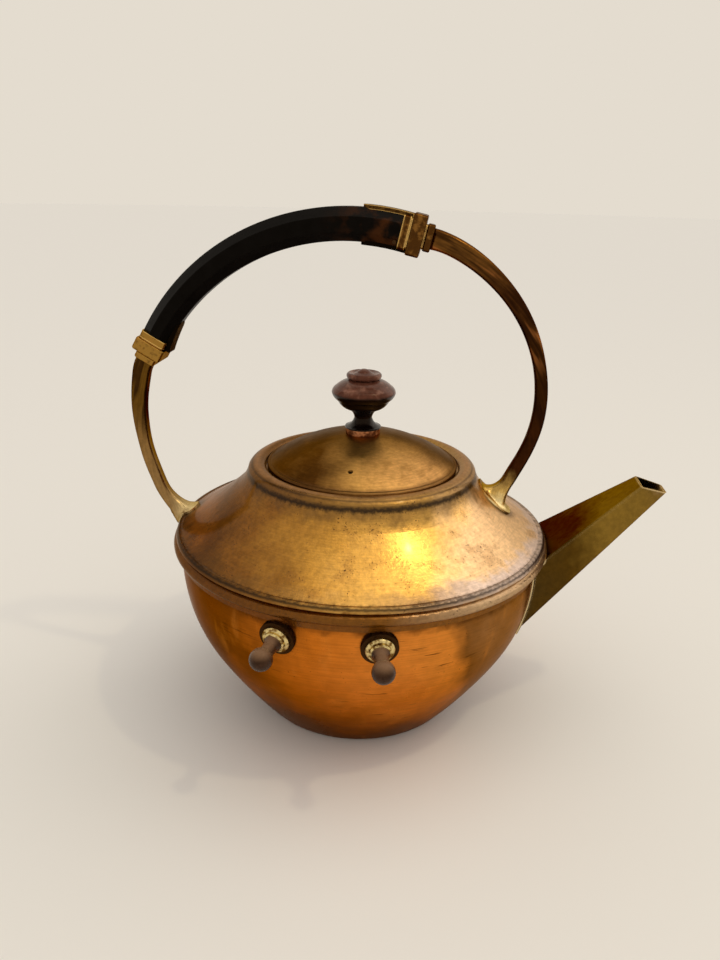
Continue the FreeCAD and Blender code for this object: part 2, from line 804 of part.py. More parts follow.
washer_seat = dome_height(size("washer_radius"), lid_wall) - size("lap_gap")
washer_base = washer_seat - size("washer_height")
nut_base = washer_base - size("nut_height")
screw_base = nut_base - size("screw_spare")
keep(cylinder("knob_screw", size("screw_radius"), socket_top - screw_base, screw_base),
     "knob_screw")
screw_drill = cylinder("screw_drill", screw_hole, socket_top)
washer_disc = cylinder("washer_disc", size("washer_radius"), size("washer_height"), washer_base)
keep(combined("Part::Cut", "knob_washer", washer_disc, screw_drill), "knob_washer")
nut_block = hexagon("nut_block", size("nut_radius"), size("nut_height"), nut_base)
keep(combined("Part::Cut", "knob_nut", nut_block, screw_drill), "knob_nut")


# Bow: the handle's parts lie in the plane of the spout. Each is placed by where it stands on
# the grip's circle, by a frame whose X axis runs from the grip to the foot.
bow_centre = Vector(read("bow_centre_reach"), 0, read("bow_top_height") - read("bow_radius"))


def bow_out(angle):
    """Direction from the bow's centre to the grip at this angle."""
    return Vector(math.cos(math.radians(angle)), 0, math.sin(math.radians(angle)))


def section(centre, way, outline_edges):
    """Edges drawn about the origin in the YZ plane, moved to centre and turned to way."""
    side = Y_AXIS
    up = way.cross(side)
    matrix = FreeCAD.Matrix(way.x, side.x, up.x, centre.x, way.y, side.y, up.y, centre.y,
                            way.z, side.z, up.z, centre.z, 0, 0, 0, 1)
    wire = Part.Wire(outline_edges)
    wire.transformShape(matrix)
    return wire


corner_limit_share = 0.475


def rounded_rectangle(depth, height, corner):
    """Edges of a rectangle in the YZ plane with rounded corners."""
    corner = min(corner, depth * corner_limit_share, height * corner_limit_share)
    across, up = depth / 2, height / 2
    edges = []
    turn_share = math.sqrt(0.5)
    for right, top in ((1, 1), (-1, 1), (-1, -1), (1, -1)):
        turning_left = right * top > 0
        centre = Vector(0, right * (across - corner), top * (up - corner))
        beside, above = Vector(0, right * corner, 0), Vector(0, 0, top * corner)
        start, end = (beside, above) if turning_left else (above, beside)
        middle = (beside + above) * turn_share
        edges.append(Part.Arc(centre + start, centre + middle, centre + end).toShape())
    lines = [Part.LineSegment(edge.lastVertex().Point, after.firstVertex().Point).toShape()
             for edge, after in zip(edges, edges[1:] + edges[:1])]
    return [piece for pair in zip(edges, lines) for piece in pair]


def bevelled_rectangle(depth, height, bevel):
    """Edges of a rectangle in the YZ plane with bevelled corners."""
    across, up = depth / 2, height / 2
    points = []
    for right, top in ((1, 1), (-1, 1), (-1, -1), (1, -1)):
        pair = [Vector(0, right * across, top * (up - bevel)),
                Vector(0, right * (across - bevel), top * up)]
        points += pair if right * top > 0 else pair[::-1]
    return [Part.LineSegment(point, after).toShape()
            for point, after in zip(points, points[1:] + points[:1])]


# Grip: a black octagonal bar bent to the bow, a little slimmer at its rear end, with a
# socket for each ferrule's tang and a cross hole for the pin.
front_angle, rear_angle = read("grip_front_angle", "grip_rear_angle")
grip_height, grip_rear_height = read("grip_height", "grip_rear_height")
grip_depth, grip_rear_depth = read("grip_depth", "grip_rear_depth")
grip_sections = []
grip_steps = 8
for step in range(grip_steps + 1):
    share = step / grip_steps
    slimming = share * share
    angle = front_angle + (rear_angle - front_angle) * share
    out = bow_out(angle)
    edges = bevelled_rectangle(
        grip_depth + (grip_rear_depth - grip_depth) * slimming,
        grip_height + (grip_rear_height - grip_height) * slimming, read("grip_bevel"))
    grip_sections.append(section(bow_centre + out * read("bow_radius"), out.cross(Y_AXIS), edges))
grip_bar = Part.makeLoft(grip_sections, True, False)
grip_ridges = [edge for edge in grip_bar.Edges if edge.Length > grip_depth * 2]
grip_bar = grip_bar.makeFillet(read("grip_edge"), grip_ridges)


class GripEnd:
    """One end of the grip: its point, the way on towards the foot, and its sizes."""

    def __init__(self, name, angle, towards_foot, height, depth):
        self.name = name
        self.angle = angle
        self.turn = towards_foot
        self.out = bow_out(angle)
        self.point = bow_centre + self.out * read("bow_radius")
        self.way = Y_AXIS.cross(self.out) * -towards_foot
        self.height = height
        self.depth = depth
        self.strap_length, self.strap_wall, self.strap_tip_wall = read(
            f"{name}_strap_length", f"{name}_strap_wall", f"{name}_strap_tip_wall")


front_end = GripEnd("front", front_angle, -1, grip_height, grip_depth)
rear_end = GripEnd("rear", rear_angle, 1, grip_rear_height, grip_rear_depth)


def bar(end, start, length, depth, height, corner):
    """A straight bar of rounded section on a grip end's axis."""
    edges = rounded_rectangle(depth, height, corner)
    face = Part.Face(section(end.point + end.way * start, end.way, edges))
    return face.extrude(end.way * length)


# Straps: bent brass strips, two at the grip's front end and one under its rear end. Each is
# let into the grip and the ferrule's plate, butts against the ferrule's block and is rounded
# at its free end.
strap_tip_share = 0.8


def strap(end, side, reach, gap=0):
    """A strip on the grip's outer face (side 1) or inner face (side -1), from this far
    beyond the grip's end to its thinner free end, and larger all round by the gap."""
    seat = read("bow_radius") + side * (end.height / 2 - read("strap_inset") - gap)
    root_back, tip_back = [seat + side * (wall + gap * 2)
                           for wall in (end.strap_wall, end.strap_tip_wall)]
    root_turn = math.degrees(math.asin(reach / max(seat, root_back))) * end.turn
    tip_turn = math.degrees((end.strap_length + gap) / read("bow_radius")) * end.turn
    start, stop = end.angle + root_turn, end.angle - tip_turn
    half_depth = Y_AXIS * (read("strap_depth") / 2 + gap)

    def bow_point(radius, angle):
        return bow_centre + bow_out(angle) * radius - half_depth

    middle, middle_back = (start + stop) / 2, (root_back + tip_back) / 2
    faces = [Part.Arc(bow_point(seat, start), bow_point(seat, middle), bow_point(seat, stop)),
             Part.LineSegment(bow_point(seat, stop), bow_point(tip_back, stop)),
             Part.Arc(bow_point(tip_back, stop), bow_point(middle_back, middle),
                      bow_point(root_back, start)),
             Part.LineSegment(bow_point(root_back, start), bow_point(seat, start))]
    solid = Part.Face(Part.Wire([face.toShape() for face in faces])).extrude(half_depth * 2)
    tip = bow_point((seat + tip_back) / 2, stop) + half_depth
    tip_edges = sorted(solid.Edges, key=lambda edge: abs((edge.CenterOfMass - tip).Length
                                                         - half_depth.Length))
    return solid.makeFillet(half_depth.Length * strap_tip_share, tip_edges[:2])


strap_reach = read("plate_length") + read("waist_length")
straps = (("front_upper", front_end, 1), ("front_lower", front_end, -1),
          ("rear_inner", rear_end, -1))
for name, end, side in straps:
    strip = strap(end, side, strap_reach - read("solder_gap"))
    keep(shaped(f"{name}_strip", strip), f"strap_{name}")


def with_seats(solid, end):
    """Cut this end's strap seats into a solid."""
    for name, carrier, side in straps:
        if carrier is end:
            solid = solid.cut(strap(end, side, strap_reach + read("overrun"), read("solder_gap")))
    return solid


# Pin: a brass pin across the grip's front end, through the tang.
pin_centre = (front_end.point - front_end.way * read("pin_place")
              - front_end.out * read("pin_drop"))


def cross_bar(radius):
    half = Y_AXIS * (grip_depth / 2)
    return Part.makeCylinder(radius, grip_depth, pin_centre - half, Y_AXIS)


pin_hole = cross_bar(read("pin_radius") + read("screw_gap"))
keep(shaped("pin", cross_bar(read("pin_radius"))), "grip_pin")


# Ferrules: cast brass, each a plate against the grip, a thick block and a small socket for
# the arm, with shallow waists between them and a tang inside the grip.
tang_height_share = 0.8


def square_edges(solid, way):
    """The edges round a bar's two ends."""
    facing_share = 0.99
    return [edge for face in solid.Faces
            if abs(face.normalAt(0, 0).dot(way)) > facing_share for edge in face.Edges]


def ferrule(end, steps):
    """Bars of (length, depth, height) one after another, with the tang behind them."""
    corner = read("ferrule_corner")
    tang = bar(end, -read("tang_length"), read("tang_length"),
               read("tang_depth"), end.height * tang_height_share, corner)
    solid = tang.cut(pin_hole)
    start = 0
    for length, depth, height in steps:
        step = bar(end, start, length, depth, height, corner)
        if length > read("plate_length"):
            step = step.makeFillet(read("ferrule_edge"), square_edges(step, end.way))
        start += length
        solid = solid.fuse(with_seats(step, end) if start <= strap_reach else step)
    return solid.removeSplitter(), start


def ferrule_steps(name, depth):
    plate, block, socket = read(f"{name}_plate_height", f"{name}_block_height",
                                f"{name}_socket_height")
    waist = (read("waist_length"), depth - read("waist_depth") * 2, plate - read("waist_depth"))
    socket_waist = (read("waist_length"), read("socket_depth") - read("waist_depth"),
                    socket - read("waist_depth"))
    return [
        (read("plate_length"), depth - read("waist_depth"), plate),
        waist,
        (read("block_length"), depth, block),
        socket_waist,
        (read("socket_length"), read("socket_depth"), socket),
    ]


for end, depth in ((front_end, read("front_block_depth")), (rear_end, read("rear_block_depth"))):
    solid, end.reach = ferrule(end, ferrule_steps(end.name, depth))
    keep(shaped(f"{end.name}_ferrule", solid), f"ferrule_{end.name}")
    gap = read("screw_gap")
    socket = bar(end, -read("tang_length") - gap, read("tang_length") + read("overrun"),
                 read("tang_depth") + gap * 2, end.height * tang_height_share + gap * 2,
                 read("ferrule_corner"))
    grip_bar = with_seats(grip_bar.cut(socket), end)
keep(shaped("grip_bar", grip_bar.cut(pin_hole)), "grip")


# Arms: brass bars of rounded section that slim towards their feet, where each flares like a
# trumpet into a pad soldered to the shoulder. The centre line is given by shares of the
# straight line from ferrule to foot: how far along it, and how far outwards from it.
front_line_shares = ((0.1, 0.12), (0.21, 0.197), (0.337, 0.25), (0.478, 0.273),
                     (0.623, 0.262), (0.764, 0.212), (0.889, 0.124))
rear_line_shares = ((0.139, 0.07), (0.283, 0.11), (0.43, 0.127), (0.58, 0.127),
                    (0.727, 0.108), (0.85, 0.085))
slim_run_share = 0.55
flare_place_shares = (1, 0.65, 0.36, 0.14, 0)
flare_growth_shares = (0, 0.07, 0.27, 0.6, 0.94)
pad_skin = skin("pad_skin", size("pad_wall"))


def arm(end, foot, away, shares, heights, pad_depth, pad_length):
    """An arm from a ferrule to a foot point on the shoulder, with its flare and pad."""
    depth, corner, flare = read("arm_depth", "arm_corner", "flare_length")
    start = end.point + end.way * end.reach
    chord = foot - start
    outwards = Vector(-chord.z, 0, chord.x).normalize()
    outwards = outwards if outwards.dot(end.way) > 0 else -outwards
    if end.turn > 0:
        outwards = Vector(-abs(outwards.x), 0, math.copysign(outwards.z, outwards.z))
    points = [start] + [start + chord * along + outwards * chord.Length * out
                        for along, out in shares] + [foot]
    line = Part.BSplineCurve()
    line.interpolate(Points=points, InitialTangent=end.way, FinalTangent=-away)
    line = line.toShape()
    bar_length = line.Length - flare

    def cut_at(distance, growth):
        place = line.getParameterByLength(distance)
        slimming = min(distance / (bar_length * slim_run_share), 1)
        height = heights[0] + (heights[1] - heights[0]) * slimming
        edges = rounded_rectangle(depth + (pad_depth - depth) * growth,
                                  height + (pad_length - height) * growth,
                                  corner + (read("pad_corner") - corner) * growth)
        return section(line.valueAt(place), line.tangentAt(place), edges)

    bar_steps = 9
    bar_sections = [cut_at(bar_length * step / bar_steps, 0) for step in range(bar_steps + 1)]
    flare_sections = [cut_at(line.Length - flare * place, growth)
                      for place, growth in zip(flare_place_shares, flare_growth_shares)]
    root_edges = rounded_rectangle(pad_depth, pad_length, read("pad_corner"))
    pad_base = section(foot - away * read("overrun"), -away, root_edges)
    pad = Part.Face(pad_base).extrude(away * read("overrun") * 2)
    return (Part.makeLoft(bar_sections, True, False), Part.makeLoft(flare_sections, True, False),
            pad)


sweep_foot = Vector(float(sweep_foot_radius), float(sweep_foot_height), 0)
sweep_top = Vector(float(sweep_top_radius), float(sweep_top_height), 0)
sweep_centre = arc_centre(sweep_foot, sweep_top, read("sweep_curve"))
front_foot_radius = float(sweep_top_radius) + read("front_foot_reach")
foot_across = front_foot_radius - sweep_centre.x
foot_up = sweep_centre.y - math.sqrt(read("sweep_curve") ** 2 - foot_across ** 2)
front_foot = Vector(front_foot_radius, 0, foot_up)
front_away = (Vector(sweep_centre.x, 0, sweep_centre.y) - front_foot).normalize()
rear_foot = Vector(-read("bowl_radius") - read("rear_foot_reach"), 0,
                   read("bead_height") + read("rear_foot_rise"))
rear_slope = math.radians(read("rear_foot_angle"))
rear_away = Vector(-math.cos(rear_slope), 0, math.sin(rear_slope))
arm_plans = (
    (front_end, front_foot, front_away, front_line_shares,
     read("front_arm_height", "front_arm_foot_height"),
     read("front_pad_depth"), read("front_pad_length")),
    (rear_end, rear_foot, rear_away, rear_line_shares,
     read("rear_arm_height", "rear_arm_foot_height"),
     read("rear_pad_depth"), read("rear_pad_length")),
)
for plan in arm_plans:
    name = plan[0].name
    arm_bar, arm_flare, pad_column = arm(*plan)
    column = shaped(f"{name}_pad_column", pad_column)
    pad = combined("Part::Common", f"{name}_pad", column, pad_skin)
    joined = doc.addObject("Part::MultiFuse", f"{name}_arm_solid")
    joined.Shapes = [shaped(f"{name}_arm_bar", arm_bar),
                     shaped(f"{name}_arm_flare", arm_flare), pad]
    joined.Refine = False
    keep(combined("Part::Cut", f"{name}_arm", joined, fitted_skin), f"arm_{name}")

doc.recompute()
for piece in doc.Objects:
    faults = [state for state in piece.State if state in ("Invalid", "Error")]
    if faults:
        raise RuntimeError(f"{piece.Name} is {faults}")
for piece in sub_parts:
    shape = piece.Shape
    if shape.isNull() or not shape.isValid() or shape.Volume <= 0:
        raise RuntimeError(f"{piece.Label} has no valid shape")
    print(f"{piece.Label}: {len(shape.Solids)} solid, {shape.Volume:.0f} mm3")
for piece in sub_parts:
    piece.Shape.exportStep(f"parts/{piece.Label}.step")
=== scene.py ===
import math

import bpy
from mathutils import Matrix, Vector


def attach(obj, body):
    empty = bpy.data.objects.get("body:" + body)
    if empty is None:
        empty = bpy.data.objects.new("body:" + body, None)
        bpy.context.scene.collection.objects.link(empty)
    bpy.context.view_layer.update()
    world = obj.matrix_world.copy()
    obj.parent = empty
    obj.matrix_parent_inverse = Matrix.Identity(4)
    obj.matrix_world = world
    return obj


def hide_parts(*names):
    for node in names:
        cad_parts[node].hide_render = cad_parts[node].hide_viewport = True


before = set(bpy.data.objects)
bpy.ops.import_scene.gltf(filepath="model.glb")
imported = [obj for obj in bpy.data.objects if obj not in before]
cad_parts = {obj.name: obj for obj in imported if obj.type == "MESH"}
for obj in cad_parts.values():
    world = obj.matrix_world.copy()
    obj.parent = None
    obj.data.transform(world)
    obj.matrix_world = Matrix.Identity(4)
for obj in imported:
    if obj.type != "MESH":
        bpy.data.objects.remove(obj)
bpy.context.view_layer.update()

bpy.ops.object.select_all(action="DESELECT")


# Bowl: raised from one sheet of copper with a flat base and tinned inside. It runs from dark
# on the left to warm orange on the belly and olive towards the spout, partly tarnish and partly
# painted light: a painted reflection on the belly's right, painted shade on the left and towards
# the bottom. It is also darker in a band just under the skirt.
def colour(red, green, blue):
    """A colour as seen on a screen, each part from 0 to 255."""
    parts = [part / 255 for part in (red, green, blue)]
    return (*[part / 12.92 if part < 0.04 else ((part + 0.055) / 1.055) ** 2.4
              for part in parts], 1.0)


class Finish:
    """The finish of one kind of surface, with its tarnish, wear and marks, and painted light and
    shade.
    """

    def __init__(self, name, metal=1.0, edge=(150, 130, 110)):
        self.material = bpy.data.materials.new(name)
        self.material.use_nodes = True
        self.tree = self.material.node_tree
        self.surface = self.tree.nodes["Principled BSDF"]
        self.surface.inputs["Metallic"].default_value = metal
        self.surface.inputs["Specular Tint"].default_value = colour(*edge)
        self.place = self.node("TexCoord").outputs["Object"]
        self.x, self.y, self.z = self.node("SeparateXYZ", {"Vector": self.place}).outputs
        flat = self.node("CombineXYZ", {"X": self.x, "Y": self.y}).outputs[0]
        self.radius = self.node("VectorMath", {0: flat}, operation="LENGTH").outputs["Value"]

    def node(self, kind, sockets=None, **settings):
        """A node of this kind, its sockets linked or set, and its settings made."""
        node = self.tree.nodes.new("ShaderNode" + kind)
        for setting, value in settings.items():
            setattr(node, setting, value)
        for socket, value in (sockets or {}).items():
            if isinstance(value, bpy.types.NodeSocket):
                self.tree.links.new(value, node.inputs[socket])
            else:
                node.inputs[socket].default_value = value
        return node

    def maths(self, way, *values):
        """The sum, product or other result of these values."""
        return self.node("Math", dict(enumerate(values)), operation=way).outputs[0]

    def cloud(self, size, detail=3.0, roughness=0.55, stretch=None, bend=0.0):
        """Uneven patches of about this size in metres, from 0 to 1 and mostly near a half."""
        place = self.place
        if stretch:
            place = self.node("Mapping", {"Vector": place, "Scale": stretch}).outputs[0]
        return self.node("TexNoise", {"Vector": place, "Scale": 1 / size, "Detail": detail,
                                      "Roughness": roughness, "Distortion": bend}).outputs[0]

    def streaks(self, width, length):
        """Fine lines rubbed round the kettle's axis, this wide and about this long."""
        middle_radius = 0.08
        turn = self.maths("ARCTAN2", self.y, self.x)
        along = self.maths("MULTIPLY", turn, middle_radius / length)
        across = [self.maths("DIVIDE", value, width) for value in (self.radius, self.z)]
        place = self.node("CombineXYZ", {"X": along, "Y": across[0], "Z": across[1]}).outputs[0]
        return self.node("TexNoise", {"Vector": place, "Scale": 1.0, "Detail": 3.0}).outputs[0]

    def bow_streaks(self, width, length):
        """Lines drawn along the bow's circle, this wide and about this long, from 0 to 1."""
        bow_radius, bow_centre_x, bow_centre_z = 0.105, -0.0077, 0.1328
        out_x = self.maths("SUBTRACT", self.x, bow_centre_x)
        out_z = self.maths("SUBTRACT", self.z, bow_centre_z)
        along = self.maths("MULTIPLY", self.maths("ARCTAN2", out_z, out_x), bow_radius / length)
        out = self.node("CombineXYZ", {"X": out_x, "Y": out_z}).outputs[0]
        reach = self.node("VectorMath", {0: out}, operation="LENGTH").outputs["Value"]
        across = [self.maths("DIVIDE", value, width) for value in (reach, self.y)]
        place = self.node("CombineXYZ", {"X": along, "Y": across[0], "Z": across[1]}).outputs[0]
        return self.node("TexNoise", {"Vector": place, "Scale": 1.0, "Detail": 2.0}).outputs[0]

    def rise(self, value, low, high, bottom=0.0, top=1.0):
        """Smoothly from bottom to top while the value goes from low to high."""
        return self.node("MapRange", {"Value": value, "From Min": low, "From Max": high,
                                      "To Min": bottom, "To Max": top},
                         interpolation_type="SMOOTHSTEP").outputs[0]

    def spread(self, cloud, bottom, top):
        """From bottom to top over the range that a cloud mostly keeps to."""
        return self.rise(cloud, 0.3, 0.7, bottom, top)

    def near(self, value, centre, reach):
        """One where the value is at the centre, fading to nothing this far from it."""
        away = self.maths("ABSOLUTE", self.maths("SUBTRACT", value, centre))
        return self.rise(away, reach, 0)

    def spot(self, centre, reach):
        """One at a point, fading to nothing this far from it."""
        away = self.node("VectorMath", {0: self.place, 1: centre}, operation="DISTANCE")
        return self.rise(away.outputs["Value"], reach, 0)

    def edges(self, reach):
        """One along the piece's sharp edges, fading to nothing about this far from them."""
        rounded = self.node("Bevel", {"Radius": reach}, samples=8).outputs[0]
        plain = self.node("NewGeometry").outputs["Normal"]
        facing = self.node("VectorMath", {0: rounded, 1: plain}, operation="DOT_PRODUCT")
        return self.rise(facing.outputs["Value"], 0.99, 0.9)

    def over(self, share, under, top, most=1.0):
        """The top colour over the one under it, by this share of the most there can be."""
        if most < 1:
            share = self.maths("MULTIPLY", share, most)
        return self.node("Mix", {0: share, 6: under, 7: top}, data_type="RGBA").outputs[2]

    def shades(self, value, *stops):
        """Colours along a value, given as stops of the value and its colour."""
        low, high = stops[0][0], stops[-1][0]
        share = self.node("MapRange", {"Value": value, "From Min": low, "From Max": high})
        ramp = self.node("ValToRGB", {"Fac": share.outputs[0]})
        points = ramp.color_ramp.elements
        points[0].color, points[1].color = stops[0][1], stops[-1][1]
        for place, tint in stops[1:-1]:
            points.new((place - low) / (high - low)).color = tint
        return ramp.outputs["Color"]

    def waver(self, value, cloud, reach):
        """The value pushed to and fro by a cloud, this far each way."""
        push = self.maths("MULTIPLY", self.maths("SUBTRACT", cloud, 0.5), reach * 2)
        return self.maths("ADD", value, push)

    def grained(self, tint, cloud, depth):
        """The colour made lighter and darker by a cloud, by about this share each way."""
        light = self.spread(cloud, 1 - depth, 1 + depth)
        shade = self.node("CombineColor", {0: light, 1: light, 2: light}).outputs[0]
        return self.node("Mix", {0: 1.0, 6: tint, 7: shade}, data_type="RGBA",
                         blend_type="MULTIPLY").outputs[2]

    def finish(self, tint, roughness, relief=()):
        """Colour and roughness, and relief as pairs of height and its depth in metres."""
        self.tree.links.new(tint, self.surface.inputs["Base Color"])
        self.tree.links.new(roughness, self.surface.inputs["Roughness"])
        normal = None
        for height, depth in relief:
            bump = self.node("Bump", {"Height": height, "Distance": depth})
            if normal:
                self.tree.links.new(normal, bump.inputs["Normal"])
            normal = bump.outputs[0]
        if normal:
            self.tree.links.new(normal, self.surface.inputs["Normal"])

    def dress(self, *nodes):
        """Give this finish to solids of the frame."""
        for node in nodes:
            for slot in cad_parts[node].material_slots:
                slot.material = self.material


copper = Finish("bowl_copper", edge=(220, 195, 175))
broad, fine, speck = copper.cloud(0.035), copper.cloud(0.006, 5), copper.cloud(0.0011, 2)
rubbed = copper.cloud(0.012, 4, stretch=(1, 1, 0.25))
rubbing = copper.streaks(0.0008, 0.02)
# Colours across the bowl, partly tarnish and partly painted light: a painted reflection right of
# the middle, painted shade on the left.
tint = copper.shades(copper.waver(copper.x, broad, 0.03), (-0.075, colour(112, 58, 12)),
                     (-0.045, colour(122, 66, 14)), (-0.02, colour(200, 112, 30)),
                     (0.03, colour(216, 130, 50)), (0.05, colour(222, 138, 54)),
                     (0.062, colour(136, 88, 40)), (0.085, colour(164, 118, 72)))
# Painted shade: darker towards the bottom.
foot_shade_top, foot_shade_bottom = 0.04, 0.004
foot_shade = copper.rise(copper.waver(copper.z, broad, 0.02), foot_shade_top,
                         foot_shade_bottom, 0, 0.85)
tint = copper.over(foot_shade, tint, colour(88, 40, 8))
tint = copper.over(copper.rise(rubbed, 0.55, 0.72, 0, 0.3), tint, colour(220, 140, 60))
# Darker in a band just below the skirt.
under_skirt_band_bottom, skirt_edge = 0.0795, 0.086
under_skirt_band = copper.rise(copper.waver(copper.z, fine, 0.005), under_skirt_band_bottom, skirt_edge, 0, 0.85)
tint = copper.over(under_skirt_band, tint, colour(58, 30, 10))
peg_turns = (-106.7, -78.7, 78.7, 106.7)
peg_seat_radius, peg_seat_height, burnt_reach = 0.0885, 0.0766, 0.0115
for turn in peg_turns:
    turn = math.radians(turn)
    seat = (peg_seat_radius * math.cos(turn), peg_seat_radius * math.sin(turn), peg_seat_height)
    burnt = copper.waver(copper.spot(seat, burnt_reach), fine, 0.15)
    tint = copper.over(copper.rise(burnt, 0.1, 0.45, 0, 0.8), tint, colour(40, 22, 10))
scrape = copper.maths("MULTIPLY", copper.rise(rubbing, 0.64, 0.7), copper.rise(broad, 0.46, 0.56))
tint = copper.over(scrape, tint, colour(56, 28, 10), most=0.8)
pits = copper.maths("MULTIPLY", copper.rise(speck, 0.66, 0.74), copper.rise(fine, 0.5, 0.6))
tint = copper.over(pits, tint, colour(70, 36, 12))
tint = copper.grained(copper.grained(tint, fine, 0.08), rubbing, 0.08)
bowl_middle, wall_blur = (0, 0, 0.05), 0.002
away = copper.node("VectorMath", {0: copper.place, 1: bowl_middle}, operation="SUBTRACT")
normal = copper.node("NewGeometry").outputs["Normal"]
facing = copper.node("VectorMath", {0: away.outputs[0], 1: normal}, operation="DOT_PRODUCT")
inside = copper.rise(facing.outputs["Value"], wall_blur, -wall_blur)
tinned = copper.over(broad, colour(150, 146, 138), colour(108, 102, 92))
tint = copper.over(inside, tint, tinned)
waviness = copper.cloud(0.028, 1)
copper.finish(tint, copper.spread(broad, 0.26, 0.36),
              [(waviness, 0.0005), (fine, 0.00008), (rubbing, 0.00002), (speck, 0.00002)])
copper.dress("bowl")


# Shoulder and neck ring: a spun brass cone with a bead rolled at its widest, and a drawn
# ring soldered round the opening. Golden in the middle; brown on the left, partly oxide and
# partly painted shade; pale on the right with a painted reflection. Brown and purple with oxide
# towards the bead, with painted shade in the groove above it, dark lines round the ring, a
# painted highlight on its crest, and dark scorch and painted shadow round the feet of the bow.
brass = Finish("shoulder_brass", edge=(220, 200, 180))
broad, middle = brass.cloud(0.03, 4), brass.cloud(0.009, 4)
fine, speck = brass.cloud(0.0022, 5, 0.65), brass.cloud(0.0009, 2)
# Colours across the shoulder, partly tarnish and partly painted light: painted shade on the dark
# left, a painted reflection on the pale right.
tint = brass.shades(brass.waver(brass.x, broad, 0.03), (-0.085, colour(150, 88, 26)),
                    (-0.062, colour(96, 56, 16)), (-0.04, colour(136, 88, 32)),
                    (-0.01, colour(196, 142, 58)), (0.03, colour(230, 178, 88)),
                    (0.05, colour(238, 196, 142)), (0.08, colour(218, 180, 132)))
tint = brass.over(brass.rise(middle, 0.5, 0.72, 0, 0.35), tint, colour(146, 96, 42))
# Oxide along the foot of the shoulder; its pale purple-grey right end is partly a painted
# reflection.
oxide_and_reflection_top, oxide_and_reflection_bottom = 0.0995, 0.0955
oxide_and_reflection = brass.rise(brass.waver(brass.z, middle, 0.006), oxide_and_reflection_top, oxide_and_reflection_bottom, 0, 0.75)
oxide_and_reflection_tint = brass.shades(brass.x, (-0.07, colour(72, 42, 16)), (-0.03, colour(150, 104, 46)),
                          (0.01, colour(206, 158, 82)), (0.035, colour(120, 92, 78)),
                          (0.06, colour(204, 186, 178)))
tint = brass.over(oxide_and_reflection, tint, oxide_and_reflection_tint)
# Painted shade in the groove above the bead.
groove_height, groove_reach = 0.0948, 0.0011
painted_groove_shade = brass.near(brass.waver(brass.z, fine, 0.0007), groove_height, groove_reach)
tint = brass.over(painted_groove_shade, tint, colour(30, 18, 8), most=0.85)
bead_top, bead_side = 0.0945, 0.0925
bead = brass.rise(brass.waver(brass.z, middle, 0.003), bead_top, bead_side)
bead_tint = brass.shades(brass.x, (-0.06, colour(100, 58, 16)), (0.02, colour(124, 78, 22)),
                         (0.06, colour(186, 154, 116)))
tint = brass.over(bead, tint, bead_tint)
bead_bottom, skirt_top = 0.0878, 0.0868
skirt = brass.rise(brass.waver(brass.z, fine, 0.001), bead_bottom, skirt_top)
skirt_tint = brass.shades(brass.x, (-0.06, colour(108, 58, 12)), (0.05, colour(128, 80, 24)))
tint = brass.over(skirt, tint, skirt_tint)
soot_outer_radius, soot_inner_radius = 0.0600, 0.0560
soot = brass.rise(brass.waver(brass.radius, middle, 0.005), soot_outer_radius,
                  soot_inner_radius, 0, 0.65)
tint = brass.over(soot, tint, colour(100, 70, 38))
joint_radius, joint_reach = 0.0558, 0.0008
joint = brass.near(brass.waver(brass.radius, fine, 0.0006), joint_radius, joint_reach)
tint = brass.over(joint, tint, colour(30, 20, 14), most=0.9)
# A painted highlight along the crest of the neck ring.
crest_radius, crest_reach = 0.0512, 0.0026
crest = brass.near(brass.waver(brass.radius, middle, 0.001), crest_radius, crest_reach)
tint = brass.over(crest, tint, colour(172, 126, 84), most=0.55)
line_radius, line_reach = 0.0537, 0.0008
line = brass.near(brass.waver(brass.radius, fine, 0.0003), line_radius, line_reach)
tint = brass.over(line, tint, colour(48, 30, 16), most=0.6)
# Dark scorch and painted shadow round each foot of the bow.
bow_feet, scorch_and_shadow_reach = ((0.0665, 0, 0.110), (-0.0905, 0, 0.0945)), 0.017
for foot in bow_feet:
    scorch_and_shadow = brass.waver(brass.spot(foot, scorch_and_shadow_reach), fine, 0.12)
    tint = brass.over(brass.rise(scorch_and_shadow, 0.1, 0.55, 0, 0.85), tint, colour(46, 30, 20))
marks = brass.maths("MULTIPLY", brass.rise(middle, 0.52, 0.6), brass.rise(speck, 0.6, 0.7))
tint = brass.over(marks, tint, colour(64, 42, 22))
rubbing = brass.streaks(0.0006, 0.012)
tint = brass.grained(brass.grained(tint, fine, 0.16), rubbing, 0.07)
brass.surface.inputs["Coat Weight"].default_value = 0.2
brass.surface.inputs["Coat Roughness"].default_value = 0.12
waviness = brass.cloud(0.022, 1)
brass.finish(tint, brass.spread(broad, 0.26, 0.4),
             [(waviness, 0.0004), (fine, 0.00012), (rubbing, 0.00002), (speck, 0.00005)])
brass.dress("shoulder", "neck_ring")


# Lid: a domed brass disc with a wired edge and a skirt that holds it in the neck, with a
# steam hole in front. Darker towards the back, and towards the left with painted shade.
lid_brass = Finish("lid_brass", edge=(220, 200, 180))
broad, middle = lid_brass.cloud(0.02, 4), lid_brass.cloud(0.008, 4)
fine, speck = lid_brass.cloud(0.0022, 5, 0.65), lid_brass.cloud(0.0009, 2)
# Colours across the lid: painted shade on the dark left, gold on the right.
tint = lid_brass.shades(lid_brass.waver(lid_brass.x, broad, 0.015), (-0.04, colour(84, 50, 16)),
                        (-0.018, colour(92, 57, 20)), (0.002, colour(190, 142, 74)),
                        (0.04, colour(202, 152, 92)))
